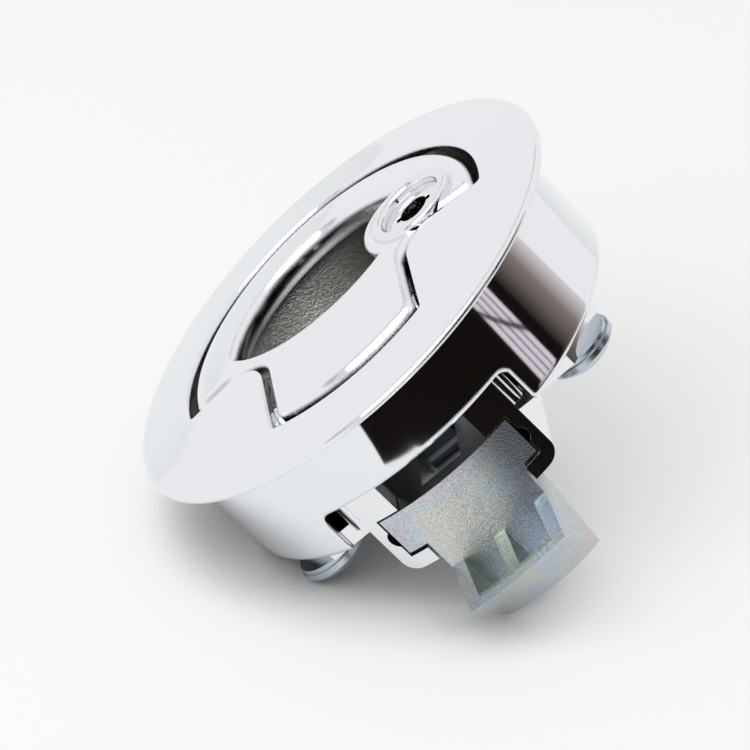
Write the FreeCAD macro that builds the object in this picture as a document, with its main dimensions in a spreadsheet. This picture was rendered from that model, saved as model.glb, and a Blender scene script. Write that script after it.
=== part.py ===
import FreeCAD, Part
import math
import os

import Sketcher

# Flush pull slam latch: a round die-cast housing that drops into a hole in a
# door, a mushroom-shaped pull handle lying flush in it, a key-locked plug in
# the handle, and a bolt ("pawl") that slides in a bracket screwed on behind.
#
# Frame, in millimetres: the origin is the centre of the circular seat that
# bears on the panel. -Y points out of the door towards the user, so +Y is
# depth behind the panel. +X is the way the pawl shoots. +Z is up.

Vector = FreeCAD.Vector
Rotation = FreeCAD.Rotation

# Driving dimensions. Every length is in millimetres, every angle in degrees.
SIZES = {
    # Bezel and body of the housing
    "flange_radius": 38.1,
    "rim_thickness": 0.9,
    "rim_round": 0.4,
    "crown_rise": 2.3,
    "bezel_back": 1.4,
    "body_radius": 33.5,
    "body_depth": 19.0,
    "skirt_wall": 1.6,
    "rear_round": 1.1,
    # Recess that the handle lies in
    "recess_radius": 28.1,
    "shoulder_line": 3.3,
    "neck_half": 14.0,
    "shoulder_round": 6.0,
    "corner_round": 1.0,
    "cup_depth": 14.5,
    "neck_depth": 9.6,
    "cup_wall": 1.6,
    "floor_round": 2.5,
    # Opening in the skirt where the bracket and pawl come through
    "window_half": 17.3,
    "window_top": 11.5,
    "window_round": 1.6,
    # Ribs between the cup and the skirt
    "rib_count": 12,
    "rib_width": 1.5,
    "rib_back": 14.0,
    # Handle
    "disc_gap": 1.7,
    "neck_gap": 1.3,
    "shoulder_gap": 1.2,
    "end_gap": 2.7,
    "handle_back": 0.8,
    "edge_chamfer": 0.5,
    "disc_rim": 7.6,
    "hole_inner_radius": 19.0,
    "hole_inner_x": 12.4,
    "hole_inner_z": 2.0,
    # Hinge
    "pin_inset": 11.1,
    "pin_depth": 2.8,
    "pin_radius": 1.6,
    "pin_groove": 0.5,
    "hinge_fit": 0.05,
    "lug_radius": 3.0,
    "lug_inner": 6.8,
    "hinge_side_gap": 0.3,
    "hinge_boss_radius": 3.4,
    "hinge_boss_length": 1.2,
    "clip_radius": 2.7,
    "clip_room": 0.3,
    "clip_thickness": 0.6,
    "clip_mouth": 1.9,
    # Release lever
    "lever_half": 3.0,
    "lever_hub": 3.2,
    "lever_waist": 1.6,
    "lever_tip": 2.0,
    "lever_reach": 21.0,
    "heel_length": 8.2,
    "heel_thickness": 2.0,
    "relief_half_length": 4.4,
    "relief_roof": 0.9,
    "relief_side_gap": 0.2,
    "lever_slot_gap": 1.2,
    "lever_slot_ahead": 8.0,
    "lever_slot_behind": 10.0,
    # Handle spring
    "torsion_wire": 0.7,
    "torsion_coil": 2.35,
    "torsion_turns": 3,
    "torsion_leg": 6.1,
    "torsion_gap": 0.3,
    # Key lock
    "lock_x": 3.9,
    "lock_inset": 9.64,
    "lock_surround": 9.0,
    "ring_radius": 7.1,
    "ring_inner": 5.9,
    "ring_rise": 0.65,
    "ring_sink": 0.3,
    "ring_round": 0.6,
    "barrel_radius": 5.9,
    "plug_radius": 5.2,
    "plug_sink": 1.3,
    "plug_head": 1.1,
    "plug_stem": 4.0,
    "plug_back": 8.6,
    "plug_end_play": 0.1,
    "keyhole_radius": 2.4,
    "keyhole_depth": 6.5,
    "key_notch_width": 1.1,
    "key_notch_reach": 3.1,
    "lock_clip_radius": 6.7,
    "lock_clip_thickness": 0.7,
    "lock_clip_groove": 0.5,
    "cam_thickness": 1.5,
    "cam_hub": 4.6,
    "cam_half_width": 2.5,
    "cam_reach": 10.0,
    "tail_half": 1.9,
    "cam_screw_radius": 1.2,
    "cam_screw_head": 2.9,
    "cam_screw_head_height": 1.3,
    "cam_screw_length": 2.2,
    "ledge_gap": 0.5,
    "ledge_height": 2.4,
    "ledge_half": 5.0,
    "ledge_depth": 3.0,
    # Guide bracket
    "front_radius": 30.7,
    "rail_back": 28.1,
    "rail_inner": 12.2,
    "rail_wall": 1.9,
    "rail_round": 2.3,
    "lip_inner": 9.2,
    "lip_thickness": 2.5,
    "rail_rear": 15.5,
    "rear_wall": 2.0,
    "guide_lip_inner": 10.2,
    "guide_lip_thickness": 1.3,
    "tab_inner": 8.3,
    "tab_front": 12.5,
    "tab_length": 5.6,
    "lug_half_round": 1.8,
    "side_lug_x": 25.2,
    "ear_thickness": 3.0,
    "ear_radius": 6.2,
    "slide_fit": 0.3,
    # Pawl
    "pawl_front": 18.2,
    "pawl_shoulder": 24.95,
    "pawl_rear": 4.0,
    "pawl_stroke": 8.4,
    "nose_half": 8.75,
    "nose_front": 30.3,
    "nose_reach": 40.1,
    "nose_tip_depth": 33.0,
    "ramp_foot_radius": 28.8,
    "ramp_foot_depth": 42.8,
    "heel_x": 20.0,
    "heel_foot_x": 27.5,
    "pocket_wall": 2.15,
    "pocket_rib": 1.95,
    "pocket_tip_wall": 2.0,
    "pocket_ramp_wall": 1.7,
    "pocket_floor": 39.0,
    # Pawl springs
    "spring_channel_x": 13.0,
    "spring_radius": 1.6,
    "spring_wire": 0.5,
    "spring_turns": 11,
    "spring_gap": 0.15,
    "spring_depth": 21.9,
    "spring_inset": 0.95,
    "spring_seat_gap": 0.05,
    # Bracket screws and washers
    "screw_x": 14.3,
    "screw_z": 23.6,
    "screw_radius": 2.4,
    "screw_bite": 9.0,
    "screw_head_radius": 5.7,
    "screw_head_rim": 0.9,
    "screw_head_height": 3.4,
    "screw_hole_gap": 0.3,
    "screw_boss_radius": 4.6,
    "drive_radius": 2.2,
    "drive_width": 1.1,
    "drive_depth": 1.6,
    "washer_radius": 5.4,
    "washer_thickness": 0.8,
    # Gap between pieces that fit closely but don't run on each other
    "close_fit": 0.05,
    # How far a cutting outline overshoots the face that it cuts
    "overshoot": 3.0,
}

SHEET_ROWS = 90
FULL_TURN = 360

# How close two points must lie to count as one, in millimetres
SAME_PLACE = 0.001

# Straight lengths and sides that stand for a round wire wound into a coil
WIRE_STEPS = 12
WIRE_SIDES = 6


class Size:
    """A length that keeps both its value and the sheet formula behind it."""

    def __init__(self, text, value):
        self.text = text
        self.value = value

    def joined(self, sign, other, value):
        return Size(f"({self.text} {sign} {other.text})", value)

    def __add__(self, other):
        other = size(other)
        return self.joined("+", other, self.value + other.value)

    def __sub__(self, other):
        other = size(other)
        return self.joined("-", other, self.value - other.value)

    def __mul__(self, other):
        other = size(other)
        return self.joined("*", other, self.value * other.value)

    def __truediv__(self, other):
        other = size(other)
        return self.joined("/", other, self.value / other.value)

    def __neg__(self):
        return size(0) - self

    def __radd__(self, other):
        return size(other) + self

    def __rsub__(self, other):
        return size(other) - self

    def __rmul__(self, other):
        return size(other) * self


def size(number):
    """Turn a bare number into a Size; a Size passes through."""
    if isinstance(number, Size):
        return number
    return Size(repr(number), number)


def root(square):
    return Size(f"sqrt({square.text})", math.sqrt(square.value))


def across(radius, offset):
    """Half chord of a circle at a given offset from its centre."""
    return root(radius * radius - offset * offset)


class Sheet:
    """The spreadsheet of driving dimensions, read as attributes."""

    def __init__(self, doc):
        page = doc.addObject("Spreadsheet::Sheet", "dims")
        for index, (name, value) in enumerate(SIZES.items()):
            column = "AC"[index // SHEET_ROWS]
            value_column = "BD"[index // SHEET_ROWS]
            row = index % SHEET_ROWS + 1
            page.set(f"{column}{row}", name)
            page.set(f"{value_column}{row}", str(value))
            page.setAlias(f"{value_column}{row}", name)
        doc.recompute()
        for name, value in SIZES.items():
            setattr(self, name, Size(f"dims.{name}", value))


doc = FreeCAD.newDocument("flush_pull_latch")
d = Sheet(doc)


# Drawing helpers

def bind(item, prop, amount):
    item.setExpression(prop, size(amount).text)


def new_body(label):
    body = doc.addObject("PartDesign::Body", label)
    body.Label = label
    return body


def move(body, x=0, y=0, z=0):
    for axis, amount in zip("xyz", (x, y, z)):
        if size(amount).value:
            bind(body, f"Placement.Base.{axis}", amount)


def sketch_on(body, role, name, level=0):
    """A sketch on one of the body's own planes, lifted along its normal."""
    sketch = body.newObject("Sketcher::SketchObject", name)
    plane = next(f for f in body.Origin.OriginFeatures if f.Role == role)
    sketch.AttachmentSupport = (plane, [""])
    sketch.MapMode = "FlatFace"
    if size(level).value:
        bind(sketch, "AttachmentOffset.Base.z", level)
    return sketch


def hold(sketch, kind, geometry, position, amount):
    """Fix one coordinate of a point; zero puts the point on the axis."""
    amount = size(amount)
    if amount.value == 0:
        axis = -2 if kind == "DistanceX" else -1
        sketch.addConstraint(Sketcher.Constraint("PointOnObject", geometry, position, axis))
        return
    index = sketch.addConstraint(
        Sketcher.Constraint(kind, -1, 1, geometry, position, amount.value)
    )
    sketch.setExpression(f"Constraints[{index}]", amount.text)


def hold_radius(sketch, geometry, radius):
    index = sketch.addConstraint(Sketcher.Constraint("Radius", geometry, radius.value))
    sketch.setExpression(f"Constraints[{index}]", radius.text)


def add_circle(sketch, u, v, radius):
    centre = Vector(size(u).value, size(v).value, 0)
    index = sketch.addGeometry(Part.Circle(centre, Vector(0, 0, 1), size(radius).value))
    hold(sketch, "DistanceX", index, 3, u)
    hold(sketch, "DistanceY", index, 3, v)
    hold_radius(sketch, index, size(radius))


def short_arc(start, end, radius, leftward):
    """The short arc between two points, turning left or right on its way."""
    chord = end - start
    half = chord.Length / 2
    rise = math.sqrt(max(radius * radius - half * half, 0))
    normal = Vector(-chord.y, chord.x, 0).normalize() * (1 if leftward else -1)
    centre = (start + end) * 0.5 + normal * rise
    first, last = (start, end) if leftward else (end, start)
    angles = [math.atan2(p.y - centre.y, p.x - centre.x) for p in (first, last)]
    if angles[1] < angles[0]:
        angles[1] += 2 * math.pi
    return Part.ArcOfCircle(Part.Circle(centre, Vector(0, 0, 1), radius), *angles)


def add_loop(sketch, corners):
    """A closed outline. Each corner is (u, v) or (u, v, bend).

    A bend is the radius of the side that leaves the corner: ("left", radius)
    turns left along the way round, ("right", radius) turns right.
    """
    points = [Vector(size(c[0]).value, size(c[1]).value, 0) for c in corners]
    ends = []
    for index, corner in enumerate(corners):
        start, end = points[index], points[(index + 1) % len(points)]
        if len(corner) == 2:
            side = sketch.addGeometry(Part.LineSegment(start, end))
            ends.append((side, 1, 2))
        else:
            turn, radius = corner[2]
            radius = size(radius)
            leftward = turn == "left"
            side = sketch.addGeometry(short_arc(start, end, radius.value, leftward))
            hold_radius(sketch, side, radius)
            ends.append((side, 1, 2) if leftward else (side, 2, 1))
    for index, (side, first, last) in enumerate(ends):
        after, after_first, _ = ends[(index + 1) % len(ends)]
        sketch.addConstraint(Sketcher.Constraint("Coincident", side, last, after, after_first))
        hold(sketch, "DistanceX", side, first, corners[index][0])
        hold(sketch, "DistanceY", side, first, corners[index][1])


def feature(body, kind, name, sketch, length=None, flipped=False, even=False):
    item = body.newObject(f"PartDesign::{kind}", name)
    item.Profile = sketch
    if length is not None:
        bind(item, "Length", length)
    item.Reversed = flipped
    if even:
        item.SideType = "Symmetric"
    return item


def slab(body, name, front, back, *loops):
    """Add a prism between two depths; loops are circles or outlines in X-Z."""
    sketch = sketch_on(body, "XZ_Plane", f"{name}_outline", -size(front))
    draw(sketch, loops)
    return feature(body, "Pad", name, sketch, size(back) - size(front), flipped=True)


def sink(body, name, front, back, *loops):
    """Cut a prism between two depths; loops are circles or outlines in X-Z."""
    sketch = sketch_on(body, "XZ_Plane", f"{name}_outline", -size(front))
    draw(sketch, loops)
    return feature(body, "Pocket", name, sketch, size(back) - size(front))


def bar(body, name, low, high, *loops):
    """Add a prism between two heights; loops are circles or outlines in X-Y."""
    sketch = sketch_on(body, "XY_Plane", f"{name}_outline", low)
    draw(sketch, loops)
    return feature(body, "Pad", name, sketch, size(high) - size(low))


def bore(body, name, low, high, *loops):
    """Cut a prism between two heights; loops are circles or outlines in X-Y."""
    sketch = sketch_on(body, "XY_Plane", f"{name}_outline", low)
    draw(sketch, loops)
    return feature(body, "Pocket", name, sketch, size(high) - size(low), flipped=True)


def rail(body, name, start, end, *loops):
    """Add a prism between two places along X; loops are drawn in Y-Z."""
    sketch = sketch_on(body, "YZ_Plane", f"{name}_outline", start)
    draw(sketch, loops)
    return feature(body, "Pad", name, sketch, size(end) - size(start))


def channel(body, name, start, end, *loops):
    """Cut a prism between two places along X; loops are drawn in Y-Z."""
    sketch = sketch_on(body, "YZ_Plane", f"{name}_outline", start)
    draw(sketch, loops)
    return feature(body, "Pocket", name, sketch, size(end) - size(start), flipped=True)


def draw(sketch, loops):
    for loop in loops:
        if loop[0] == "circle":
            add_circle(sketch, *loop[1:])
        else:
            add_loop(sketch, loop)


def circle(u, v, radius):
    return ("circle", u, v, radius)


def box(left, right, low, high):
    return [(left, low), (right, low), (right, high), (left, high)]


def turn(body, name, corners, cut=False):
    """Revolve an outline in X-Y about the body's own Y axis."""
    sketch = sketch_on(body, "XY_Plane", f"{name}_outline")
    add_loop(sketch, corners)
    item = feature(body, "Groove" if cut else "Revolution", name, sketch)
    item.ReferenceAxis = (sketch, ["V_Axis"])
    item.Angle = FULL_TURN
    return item


def round_edges(body, name, radius, wanted):
    """Fillet the edges of the body so far that the test picks out."""
    doc.recompute()
    base = body.Tip
    names = [f"Edge{i + 1}" for i, edge in enumerate(base.Shape.Edges) if wanted(edge)]
    item = body.newObject("PartDesign::Fillet", name)
    item.Base = (base, names)
    bind(item, "Radius", radius)
    return item


def chamfer_edges(body, name, length, wanted):
    """Break the edges of the body so far that the test picks out."""
    doc.recompute()
    base = body.Tip
    names = [f"Edge{i + 1}" for i, edge in enumerate(base.Shape.Edges) if wanted(edge)]
    item = body.newObject("PartDesign::Chamfer", name)
    item.Base = (base, names)
    bind(item, "Size", length)
    return item


def middle(edge):
    return edge.valueAt((edge.FirstParameter + edge.LastParameter) / 2)


def on_crown(edge):
    """Tell whether an edge lies on the dome of the face."""
    centre = Vector(0, (face_depth + dome_radius).value, 0)
    points = [edge.valueAt(edge.FirstParameter), middle(edge)]
    return all(abs((p - centre).Length - dome_radius.value) < SAME_PLACE for p in points)


def along_depth(edge):
    """Tell whether an edge is a straight line along Y."""
    first, last = edge.valueAt(edge.FirstParameter), edge.valueAt(edge.LastParameter)
    return math.hypot(last.x - first.x, last.z - first.z) < SAME_PLACE < abs(last.y - first.y)


def at_depth(edge, depth):
    """Tell whether a whole edge lies at one depth."""
    points = [edge.valueAt(edge.FirstParameter), middle(edge), edge.valueAt(edge.LastParameter)]
    return all(abs(p.y - depth.value) < SAME_PLACE for p in points)


def stands_on(edge, corners):
    """Tell whether an edge runs along Y through one of the (x, z) corners."""
    point = middle(edge)
    gaps = [math.hypot(point.x - size(u).value, point.z - size(v).value) for u, v in corners]
    return along_depth(edge) and min(gaps) < SAME_PLACE


# Outlines shared by several pieces, in the X-Z plane

def mushroom(radius, shoulder, half, corner, end_radius):
    """A disc whose +X side narrows, behind two shoulders, to a neck."""
    top = across(radius, shoulder)
    neck_end = across(end_radius, half)
    return [
        (shoulder, top, ("left", radius)),
        (-radius, 0, ("left", radius)),
        (shoulder, -top),
        (shoulder, -(half + corner), ("right", corner)),
        (shoulder + corner, -half),
        (neck_end, -half, ("left", end_radius)),
        (neck_end, half),
        (shoulder + corner, half, ("right", corner)),
        (shoulder, half + corner),
    ]


def mushroom_corners(radius, shoulder, half, end_radius):
    """The four sharp corners of a mushroom outline."""
    top, neck_end = across(radius, shoulder), across(end_radius, half)
    return [(shoulder, top), (shoulder, -top), (neck_end, half), (neck_end, -half)]


def half_disc(radius, edge):
    """A disc cut off at a straight edge on its +X side."""
    top = across(radius, edge)
    return [
        (edge, top, ("left", radius)),
        (-radius, 0, ("left", radius)),
        (edge, -top),
    ]


def tongue_outline(rear, half, radius):
    """A strip with a straight rear end and a round front end."""
    front = across(radius, half)
    return [(rear, -half), (front, -half, ("left", radius)), (front, half), (rear, half)]


def crossing(first, second, side):
    """Where two circles (u, v, radius) meet, on one side of their centre line."""
    du, dv = second[0] - first[0], second[1] - first[1]
    gap = root(du * du + dv * dv)
    along = (first[2] * first[2] - second[2] * second[2] + gap * gap) / (2 * gap)
    aside = across(first[2], along) * side
    u = first[0] + (along * du - aside * dv) / gap
    v = first[1] + (along * dv + aside * du) / gap
    return u, v


# Sizes that several pieces share

face_depth = -(d.rim_thickness + d.crown_rise)
dome_edge = d.flange_radius - d.rim_round
dome_radius = (dome_edge * dome_edge + d.crown_rise * d.crown_rise) / (2 * d.crown_rise)


def crown_depth(radius):
    """Depth of the domed face at a distance from the latch axis."""
    return face_depth + dome_radius - across(dome_radius, radius)


outer_face = face_depth - d.overshoot
skirt_inner = d.body_radius - d.skirt_wall
cup_back = d.cup_depth + d.cup_wall
neck_back = d.neck_depth + d.cup_wall
handle_radius = d.recess_radius - d.disc_gap
handle_half = d.neck_half - d.neck_gap
lug_outer = handle_half
hole_radius = handle_radius - d.disc_rim
pin_x = d.recess_radius - d.pin_inset
lock_offset = handle_radius - d.lock_inset
lock_z = across(lock_offset, d.lock_x)
lock_centre = (-d.lock_x, lock_z)
ring_front = crown_depth(lock_offset) - d.ring_rise
ring_seat = crown_depth(lock_offset + d.ring_radius) + d.ring_sink
plug_front = ring_front + d.plug_sink
plug_seat = plug_front + d.plug_head
clip_groove = d.barrel_radius - d.lock_clip_groove
rail_outer = d.rail_inner + d.rail_wall
pawl_half = d.rail_inner - d.slide_fit
lip_front = d.rail_back - d.lip_thickness
guide_lip_back = d.pawl_front - d.slide_fit
guide_lip_front = guide_lip_back - d.guide_lip_thickness
rear_wall_face = -d.rail_rear + d.rear_wall
ear_back = d.body_depth + d.ear_thickness
head_seat = ear_back + d.washer_thickness
spring_centre = d.rail_inner - d.spring_inset


def crown_cut(body):
    """Trim the front of a piece to the shallow dome of the bezel."""
    turn(body, "crown", [
        (0, face_depth, ("left", dome_radius)),
        (dome_edge, -d.rim_thickness),
        (dome_edge, outer_face - d.overshoot),
        (0, outer_face - d.overshoot),
    ], cut=True)


def make_housing():
    """Bezel, cup, skirt, ribs and bosses: one die casting."""
    body = new_body("housing")
    turn(body, "shell", [
        (0, face_depth, ("left", dome_radius)),
        (dome_edge, -d.rim_thickness, ("left", d.rim_round)),
        (d.flange_radius, d.rim_round - d.rim_thickness),
        (d.flange_radius, 0),
        (d.body_radius, 0),
        (d.body_radius, d.body_depth - d.rear_round, ("left", d.rear_round)),
        (d.body_radius - d.rear_round, d.body_depth),
        (skirt_inner, d.body_depth),
        (skirt_inner, d.bezel_back),
        (0, d.bezel_back),
    ])
    wall = d.cup_wall
    slab(body, "neck_block", 0, neck_back, mushroom(
        d.recess_radius + wall, d.shoulder_line + wall, d.neck_half + wall,
        d.shoulder_round - wall, d.recess_radius + wall))
    slab(body, "cup_block", 0, cup_back,
         half_disc(d.recess_radius + wall, d.shoulder_line + wall))
    slab(body, "screw_bosses", 0, d.body_depth,
         circle(d.screw_x, d.screw_z, d.screw_boss_radius),
         circle(d.screw_x, -d.screw_z, d.screw_boss_radius))
    rib_ring = half_of(d.rib_width)
    slab(body, "rib", 0, d.rib_back,
         box(-(skirt_inner + d.skirt_wall / 2), -(d.recess_radius + wall / 2),
             -rib_ring, rib_ring))
    ribs = body.newObject("PartDesign::PolarPattern", "ribs")
    ribs.Originals = [body.Tip]
    axis = next(f for f in body.Origin.OriginFeatures if f.Role == "Y_Axis")
    ribs.Axis = (axis, [""])
    ribs.Angle = FULL_TURN
    bind(ribs, "Occurrences", d.rib_count)
    body.Tip = ribs
    doc.recompute()
    sink(body, "neck_recess", outer_face, d.neck_depth, mushroom(
        d.recess_radius, d.shoulder_line, d.neck_half, d.shoulder_round, d.recess_radius))
    sink(body, "cup", outer_face, d.cup_depth, half_disc(d.recess_radius, d.shoulder_line))
    corners = mushroom_corners(d.recess_radius, d.shoulder_line, d.neck_half, d.recess_radius)
    round_edges(body, "recess_corners", d.corner_round, lambda edge: stands_on(edge, corners))
    round_edges(body, "cup_floor_edges", d.floor_round, lambda edge: at_depth(edge, d.cup_depth))
    slot_half = d.lever_half + d.lever_slot_gap
    sink(body, "lever_slot", d.neck_depth - d.overshoot, neck_back + d.overshoot,
         box(pin_x - d.lever_slot_behind, pin_x + d.lever_slot_ahead, -slot_half, slot_half))
    window = window_outline()
    channel(body, "window", d.front_radius - d.overshoot * 2, d.flange_radius + d.overshoot, window)
    sink(body, "screw_holes", d.body_depth - d.screw_bite - d.overshoot,
         d.body_depth + d.overshoot,
         circle(d.screw_x, d.screw_z, d.screw_radius + d.close_fit),
         circle(d.screw_x, -d.screw_z, d.screw_radius + d.close_fit))
    pin_hole = d.pin_radius + d.hinge_fit
    for side, name in ((1, "upper"), (-1, "lower")):
        inner = handle_half + d.hinge_side_gap
        outer = d.neck_half + wall + d.hinge_boss_length
        low, high = (inner, outer) if side > 0 else (-outer, -inner)
        boss = bar(body, f"{name}_hinge_boss", low, high,
                   circle(pin_x, d.pin_depth, d.hinge_boss_radius))
        # Its seams with the neck wall stay unmerged: merging them breaks a small recess
        boss.Refine = False
        bore(body, f"{name}_pin_hole", low - d.overshoot, high + d.overshoot,
             circle(pin_x, d.pin_depth, pin_hole))
    make_clip_rooms(body)
    ledge_back = d.plug_back - d.ledge_gap
    reach = across(d.recess_radius, d.lock_x + d.ledge_half)
    slab(body, "lock_ledge", ledge_back - d.ledge_height, ledge_back,
         box(-d.lock_x - d.ledge_half, -d.lock_x + d.ledge_half,
             reach - d.ledge_depth / 2, reach + d.cup_wall))
    return body


def make_clip_rooms(body):
    """Hollows under the bezel that clear the clips on the hinge pin."""
    half = d.clip_radius + d.clip_room
    inner = d.neck_half + d.cup_wall + d.hinge_boss_length
    outer = inner + d.clip_thickness * 2 + d.clip_room
    left, right = pin_x - half, pin_x + half
    sink(body, "clip_rooms", d.pin_depth - half, d.pin_depth + half,
         box(left, right, inner, outer), box(left, right, -outer, -inner))


def half_of(width):
    return width / 2


def window_outline():
    """Opening in the skirt: square to the rear, rounded at the bezel end."""
    top, half, corner = d.window_top, d.window_half, d.window_round
    rear = d.body_depth + d.overshoot
    return [
        (rear, half),
        (top + corner, half, ("left", corner)),
        (top, half - corner),
        (top, -(half - corner), ("left", corner)),
        (top + corner, -half),
        (rear, -half),
    ]


def finger_hole():
    """Eye-shaped hole: two arcs, cut short by the surround of the lock."""
    outer = (size(0), size(0), hole_radius)
    inner = (-d.hole_inner_x, -d.hole_inner_z, d.hole_inner_radius)
    lock = (-d.lock_x, lock_z, d.lock_surround)
    tip = crossing(inner, outer, -1)
    neck_side = crossing(inner, lock, -1)
    far_side = crossing(outer, lock, 1)
    return [
        (*tip, ("left", d.hole_inner_radius)),
        (*neck_side, ("right", d.lock_surround)),
        (*far_side, ("left", hole_radius)),
    ]


def make_handle():
    """Pull handle: domed plate, finger hole, lock seat and two hinge lugs."""
    body = new_body("handle")
    slab(body, "plate", outer_face, d.handle_back, mushroom(
        handle_radius, d.shoulder_line - d.shoulder_gap, handle_half,
        d.shoulder_round + d.shoulder_gap, d.recess_radius - d.end_gap))
    crown_cut(body)
    hole = finger_hole()
    sink(body, "finger_hole", outer_face, d.handle_back + d.overshoot, hole)
    corners = [corner[:2] for corner in hole] + mushroom_corners(
        handle_radius, d.shoulder_line - d.shoulder_gap, handle_half, d.recess_radius - d.end_gap)
    round_edges(body, "corners", d.corner_round, lambda edge: stands_on(edge, corners))
    chamfer_edges(body, "face_edges", d.edge_chamfer, on_crown)
    for side, name in ((1, "upper"), (-1, "lower")):
        low, high = (d.lug_inner, lug_outer) if side > 0 else (-lug_outer, -d.lug_inner)
        bar(body, f"{name}_lug", low, high, circle(pin_x, d.pin_depth, d.lug_radius))
    sink(body, "ring_seat", outer_face, ring_seat,
         circle(*lock_centre, d.ring_radius + d.close_fit))
    sink(body, "lock_bore", outer_face, d.handle_back + d.overshoot,
         circle(*lock_centre, d.barrel_radius + d.close_fit))
    relief_half = d.lug_inner - d.relief_side_gap
    sink(body, "hub_relief", -d.relief_roof, d.handle_back + d.overshoot,
         box(pin_x - d.relief_half_length, pin_x + d.relief_half_length,
             -relief_half, relief_half))
    full = lug_outer + d.overshoot
    bore(body, "pin_bore", -full, full,
         circle(pin_x, d.pin_depth, d.pin_radius + d.hinge_fit))
    return body


def make_release_lever():
    """Steel lever on the hinge pin that draws the pawl back."""
    body = new_body("release_lever")
    half = d.lever_half
    pin = (pin_x, d.pin_depth)
    bar(body, "hub", -half, half, circle(*pin, d.lever_hub))
    bar(body, "arm", -half, half, [
        (pin_x - d.lever_waist, d.pin_depth),
        (pin_x + d.lever_waist, d.pin_depth),
        (pin_x + d.lever_waist, d.lever_reach),
        (pin_x - d.lever_waist, d.lever_reach),
    ])
    bar(body, "tip", -half, half, circle(pin_x, d.lever_reach, d.lever_tip))
    bar(body, "heel", -half, half, [
        (pin_x - d.heel_length, d.handle_back),
        (pin_x, d.handle_back),
        (pin_x, d.handle_back + d.heel_thickness),
        (pin_x - d.heel_length, d.handle_back + d.heel_thickness),
    ])
    full = half + d.overshoot
    bore(body, "pin_bore", -full, full, circle(*pin, d.pin_radius + d.hinge_fit))
    return body


def make_hinge_pin():
    """Turned pin through the housing, the handle and the lever."""
    body = new_body("hinge_pin")
    clip_seat = d.neck_half + d.cup_wall + d.hinge_boss_length
    end = clip_seat + d.clip_thickness * 2
    neck = d.pin_radius - d.pin_groove
    turn(body, "pin", [
        (0, -end),
        (d.pin_radius, -end),
        (d.pin_radius, -(clip_seat + d.clip_thickness)),
        (neck, -(clip_seat + d.clip_thickness)),
        (neck, -clip_seat),
        (d.pin_radius, -clip_seat),
        (d.pin_radius, clip_seat),
        (neck, clip_seat),
        (neck, clip_seat + d.clip_thickness),
        (d.pin_radius, clip_seat + d.clip_thickness),
        (d.pin_radius, end),
        (0, end),
    ])
    lay_along_z(body)
    return body


def lay_along_z(body):
    """Turn a piece drawn about its own Y axis so that the axis runs along Z."""
    body.Placement = FreeCAD.Placement(Vector(0, 0, 0), Rotation(Vector(1, 0, 0), 90))
    move(body, pin_x, d.pin_depth)


def make_pin_clip(label, side):
    """Spring clip in the groove at one end of the hinge pin."""
    body = new_body(label)
    clip_seat = d.neck_half + d.cup_wall + d.hinge_boss_length
    seat, back = clip_seat, clip_seat + d.clip_thickness
    low, high = (seat, back) if side > 0 else (-back, -seat)
    bar(body, "ring", low, high, circle(0, 0, d.clip_radius),
        circle(0, 0, d.pin_radius - d.pin_groove))
    half = half_of(d.clip_mouth)
    bore(body, "mouth", low - d.overshoot, high + d.overshoot,
         box(0, d.clip_radius + d.overshoot, -half, half))
    move(body, pin_x, d.pin_depth)
    return body


def make_lock_barrel():
    """Chromed sleeve of the lock: a rounded ring on the face, a tube behind."""
    body = new_body("lock_barrel")
    head_bore = d.plug_radius + d.close_fit
    stem_bore = d.plug_stem + d.close_fit
    back = d.plug_back - d.plug_end_play
    round_in = d.ring_inner - head_bore
    turn(body, "sleeve", [
        (head_bore, ring_front + round_in, ("left", round_in)),
        (d.ring_inner, ring_front),
        (d.ring_radius - d.ring_round, ring_front, ("left", d.ring_round)),
        (d.ring_radius, ring_front + d.ring_round),
        (d.ring_radius, ring_seat),
        (d.barrel_radius, ring_seat),
        (d.barrel_radius, d.handle_back),
        (clip_groove, d.handle_back),
        (clip_groove, d.handle_back + d.lock_clip_thickness),
        (d.barrel_radius, d.handle_back + d.lock_clip_thickness),
        (d.barrel_radius, back),
        (stem_bore, back),
        (stem_bore, plug_seat),
        (head_bore, plug_seat),
    ])
    move(body, -d.lock_x, 0, lock_z)
    return body


def make_lock_clip():
    """Horseshoe clip that holds the lock barrel in the handle."""
    body = new_body("lock_clip")
    seat, back = d.handle_back, d.handle_back + d.lock_clip_thickness
    slab(body, "ring", seat, back,
         circle(0, 0, d.lock_clip_radius), circle(0, 0, clip_groove))
    half = half_of(clip_groove)
    sink(body, "mouth", seat - d.overshoot, back + d.overshoot,
         box(0, d.lock_clip_radius + d.overshoot, -half, half))
    move(body, -d.lock_x, 0, lock_z)
    return body


def make_lock_plug():
    """The part of the lock that turns, with its keyhole and square tail."""
    body = new_body("lock_plug")
    tail = d.plug_back + d.cam_thickness
    turn(body, "plug", [
        (0, plug_front),
        (d.plug_radius, plug_front),
        (d.plug_radius, plug_seat),
        (d.plug_stem, plug_seat),
        (d.plug_stem, d.plug_back),
        (0, d.plug_back),
    ])
    slab(body, "tail", d.plug_back, tail,
         box(-d.tail_half, d.tail_half, -d.tail_half, d.tail_half))
    floor = plug_front + d.keyhole_depth
    sink(body, "keyhole", plug_front - d.overshoot, floor, circle(0, 0, d.keyhole_radius))
    half = half_of(d.key_notch_width)
    sink(body, "key_notch", plug_front - d.overshoot, floor,
         box(-half, half, -d.key_notch_reach, d.key_notch_reach))
    sink(body, "screw_hole", tail - d.cam_screw_length, tail + d.overshoot,
         circle(0, 0, d.cam_screw_radius + d.close_fit))
    move(body, -d.lock_x, 0, lock_z)
    return body


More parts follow.
